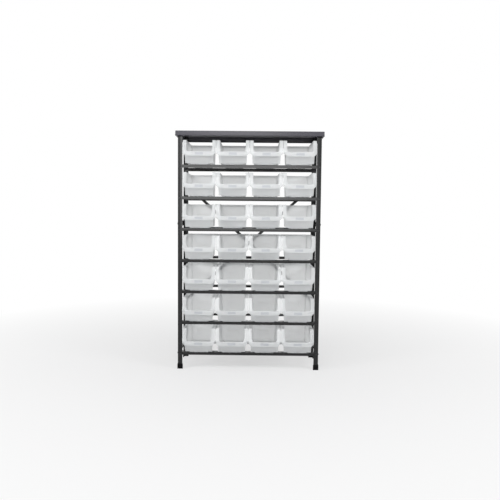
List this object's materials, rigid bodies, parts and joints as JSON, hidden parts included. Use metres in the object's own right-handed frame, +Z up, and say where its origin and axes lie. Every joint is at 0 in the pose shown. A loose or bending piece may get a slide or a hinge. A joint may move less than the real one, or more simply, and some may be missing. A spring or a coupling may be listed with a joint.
{
  "type": "bin rack",
  "caption": "Floor-standing open steel rack with two-rail shelves, a lipped top tray, a crossed rear brace and lift-out clear hopper bins.",
  "frame": {"origin": "on the floor, at the middle of the whole rack's footprint with the bins in", "axes": "+X to the right seen from the front, +Y from the front to the back, +Z up"},
  "size_m": [0.9454, 0.3754, 1.5336],
  "materials": {
    "frame_steel": "charcoal semi-gloss powder coat",
    "tray_steel": "slightly lighter charcoal powder coat",
    "foot_plastic": "black moulded plastic",
    "bin_plastic": "translucent milky moulded plastic"
  },
  "bodies": {
    "rack": {"post_front_left": "frame_steel", "post_rear_left": "frame_steel", "post_front_right": "frame_steel", "post_rear_right": "frame_steel", "side_tie_left_middle": "frame_steel", "side_tie_left_lower": "frame_steel", "side_tie_right_middle": "frame_steel", "side_tie_right_lower": "frame_steel", "front_rail_1": "frame_steel", "front_rail_2": "frame_steel", "front_rail_3": "frame_steel", "front_rail_4": "frame_steel", "front_rail_5": "frame_steel", "front_rail_6": "frame_steel", "front_rail_7": "frame_steel", "rear_rail_1": "frame_steel", "rear_rail_2": "frame_steel", "rear_rail_3": "frame_steel", "rear_rail_4": "frame_steel", "rear_rail_5": "frame_steel", "rear_rail_6": "frame_steel", "rear_rail_7": "frame_steel", "back_brace_inner": "frame_steel", "back_brace_outer": "frame_steel", "foot_cap_front_left": "foot_plastic", "foot_cap_rear_left": "foot_plastic", "foot_cap_front_right": "foot_plastic", "foot_cap_rear_right": "foot_plastic", "top_tray": "tray_steel"},
    "bin_row1_col1": {"bin_row1_col1": "bin_plastic"},
    "bin_row1_col2": {"bin_row1_col2": "bin_plastic"},
    "bin_row1_col3": {"bin_row1_col3": "bin_plastic"},
    "bin_row1_col4": {"bin_row1_col4": "bin_plastic"},
    "bin_row2_col1": {"bin_row2_col1": "bin_plastic"},
    "bin_row2_col2": {"bin_row2_col2": "bin_plastic"},
    "bin_row2_col3": {"bin_row2_col3": "bin_plastic"},
    "bin_row2_col4": {"bin_row2_col4": "bin_plastic"},
    "bin_row3_col1": {"bin_row3_col1": "bin_plastic"},
    "bin_row3_col2": {"bin_row3_col2": "bin_plastic"},
    "bin_row3_col3": {"bin_row3_col3": "bin_plastic"},
    "bin_row3_col4": {"bin_row3_col4": "bin_plastic"},
    "bin_row4_col1": {"bin_row4_col1": "bin_plastic"},
    "bin_row4_col2": {"bin_row4_col2": "bin_plastic"},
    "bin_row4_col3": {"bin_row4_col3": "bin_plastic"},
    "bin_row4_col4": {"bin_row4_col4": "bin_plastic"},
    "bin_row5_col1": {"bin_row5_col1": "bin_plastic"},
    "bin_row5_col2": {"bin_row5_col2": "bin_plastic"},
    "bin_row5_col3": {"bin_row5_col3": "bin_plastic"},
    "bin_row5_col4": {"bin_row5_col4": "bin_plastic"},
    "bin_row6_col1": {"bin_row6_col1": "bin_plastic"},
    "bin_row6_col2": {"bin_row6_col2": "bin_plastic"},
    "bin_row6_col3": {"bin_row6_col3": "bin_plastic"},
    "bin_row6_col4": {"bin_row6_col4": "bin_plastic"},
    "bin_row7_col1": {"bin_row7_col1": "bin_plastic"},
    "bin_row7_col2": {"bin_row7_col2": "bin_plastic"},
    "bin_row7_col3": {"bin_row7_col3": "bin_plastic"},
    "bin_row7_col4": {"bin_row7_col4": "bin_plastic"}
  },
  "joints": [
    {"name": "draw_bin_row1_col1", "type": "slide", "parent": "rack", "child": "bin_row1_col1", "axis": [0, -1, 0], "range_m": [0, 0.36]},
    {"name": "draw_bin_row1_col2", "type": "slide", "parent": "rack", "child": "bin_row1_col2", "axis": [0, -1, 0], "range_m": [0, 0.36]},
    {"name": "draw_bin_row1_col3", "type": "slide", "parent": "rack", "child": "bin_row1_col3", "axis": [0, -1, 0], "range_m": [0, 0.36]},
    {"name": "draw_bin_row1_col4", "type": "slide", "parent": "rack", "child": "bin_row1_col4", "axis": [0, -1, 0], "range_m": [0, 0.36]},
    {"name": "draw_bin_row2_col1", "type": "slide", "parent": "rack", "child": "bin_row2_col1", "axis": [0, -1, 0], "range_m": [0, 0.36]},
    {"name": "draw_bin_row2_col2", "type": "slide", "parent": "rack", "child": "bin_row2_col2", "axis": [0, -1, 0], "range_m": [0, 0.36]},
    {"name": "draw_bin_row2_col3", "type": "slide", "parent": "rack", "child": "bin_row2_col3", "axis": [0, -1, 0], "range_m": [0, 0.36]},
    {"name": "draw_bin_row2_col4", "type": "slide", "parent": "rack", "child": "bin_row2_col4", "axis": [0, -1, 0], "range_m": [0, 0.36]},
    {"name": "draw_bin_row3_col1", "type": "slide", "parent": "rack", "child": "bin_row3_col1", "axis": [0, -1, 0], "range_m": [0, 0.36]},
    {"name": "draw_bin_row3_col2", "type": "slide", "parent": "rack", "child": "bin_row3_col2", "axis": [0, -1, 0], "range_m": [0, 0.36]},
    {"name": "draw_bin_row3_col3", "type": "slide", "parent": "rack", "child": "bin_row3_col3", "axis": [0, -1, 0], "range_m": [0, 0.36]},
    {"name": "draw_bin_row3_col4", "type": "slide", "parent": "rack", "child": "bin_row3_col4", "axis": [0, -1, 0], "range_m": [0, 0.36]},
    {"name": "draw_bin_row4_col1", "type": "slide", "parent": "rack", "child": "bin_row4_col1", "axis": [0, -1, 0], "range_m": [0, 0.36]},
    {"name": "draw_bin_row4_col2", "type": "slide", "parent": "rack", "child": "bin_row4_col2", "axis": [0, -1, 0], "range_m": [0, 0.36]},
    {"name": "draw_bin_row4_col3", "type": "slide", "parent": "rack", "child": "bin_row4_col3", "axis": [0, -1, 0], "range_m": [0, 0.36]},
    {"name": "draw_bin_row4_col4", "type": "slide", "parent": "rack", "child": "bin_row4_col4", "axis": [0, -1, 0], "range_m": [0, 0.36]},
    {"name": "draw_bin_row5_col1", "type": "slide", "parent": "rack", "child": "bin_row5_col1", "axis": [0, -1, 0], "range_m": [0, 0.36]},
    {"name": "draw_bin_row5_col2", "type": "slide", "parent": "rack", "child": "bin_row5_col2", "axis": [0, -1, 0], "range_m": [0, 0.36]},
    {"name": "draw_bin_row5_col3", "type": "slide", "parent": "rack", "child": "bin_row5_col3", "axis": [0, -1, 0], "range_m": [0, 0.36]},
    {"name": "draw_bin_row5_col4", "type": "slide", "parent": "rack", "child": "bin_row5_col4", "axis": [0, -1, 0], "range_m": [0, 0.36]},
    {"name": "draw_bin_row6_col1", "type": "slide", "parent": "rack", "child": "bin_row6_col1", "axis": [0, -1, 0], "range_m": [0, 0.36]},
    {"name": "draw_bin_row6_col2", "type": "slide", "parent": "rack", "child": "bin_row6_col2", "axis": [0, -1, 0], "range_m": [0, 0.36]},
    {"name": "draw_bin_row6_col3", "type": "slide", "parent": "rack", "child": "bin_row6_col3", "axis": [0, -1, 0], "range_m": [0, 0.36]},
    {"name": "draw_bin_row6_col4", "type": "slide", "parent": "rack", "child": "bin_row6_col4", "axis": [0, -1, 0], "range_m": [0, 0.36]},
    {"name": "draw_bin_row7_col1", "type": "slide", "parent": "rack", "child": "bin_row7_col1", "axis": [0, -1, 0], "range_m": [0, 0.36]},
    {"name": "draw_bin_row7_col2", "type": "slide", "parent": "rack", "child": "bin_row7_col2", "axis": [0, -1, 0], "range_m": [0, 0.36]},
    {"name": "draw_bin_row7_col3", "type": "slide", "parent": "rack", "child": "bin_row7_col3", "axis": [0, -1, 0], "range_m": [0, 0.36]},
    {"name": "draw_bin_row7_col4", "type": "slide", "parent": "rack", "child": "bin_row7_col4", "axis": [0, -1, 0], "range_m": [0, 0.36]}
  ]
}
